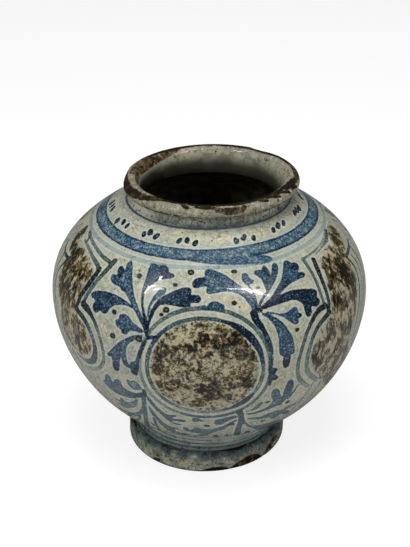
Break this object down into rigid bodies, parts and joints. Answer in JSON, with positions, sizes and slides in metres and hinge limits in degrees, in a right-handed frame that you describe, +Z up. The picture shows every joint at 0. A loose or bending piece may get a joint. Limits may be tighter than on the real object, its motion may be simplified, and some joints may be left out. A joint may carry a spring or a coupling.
{
  "type": "globular vase",
  "caption": "Round-bellied glazed earthenware jar on a foot ring, with a short neck and a rolled lip, painted with foliage, roundels and bands, for holding flowers or stores.",
  "frame": {"origin": "centre of the foot ring's standing face", "axes": "+Z up along the jar's axis of turning, +X to the right of the side that faces the picture's camera, which looks along +Y"},
  "size_m": [0.278, 0.278, 0.26],
  "materials": {
    "painted_glaze": "glossy crackled cream tin glaze with cobalt and manganese painting",
    "neck_glaze": "glossy cream glaze with a blue-grey wash",
    "lip_glaze": "glossy cream glaze, chipped and worn to the dark body",
    "foot_glaze": "thin grey-green glaze with grime and chips",
    "floor_glaze": "thin glaze inside, bare clay below"
  },
  "bodies": {
    "root": {"foot_ring": "foot_glaze", "floor_disc": "floor_glaze", "lower_wall": "painted_glaze", "upper_wall": "painted_glaze", "neck_collar": "neck_glaze", "lip_roll": "lip_glaze"}
  },
  "joints": []
}
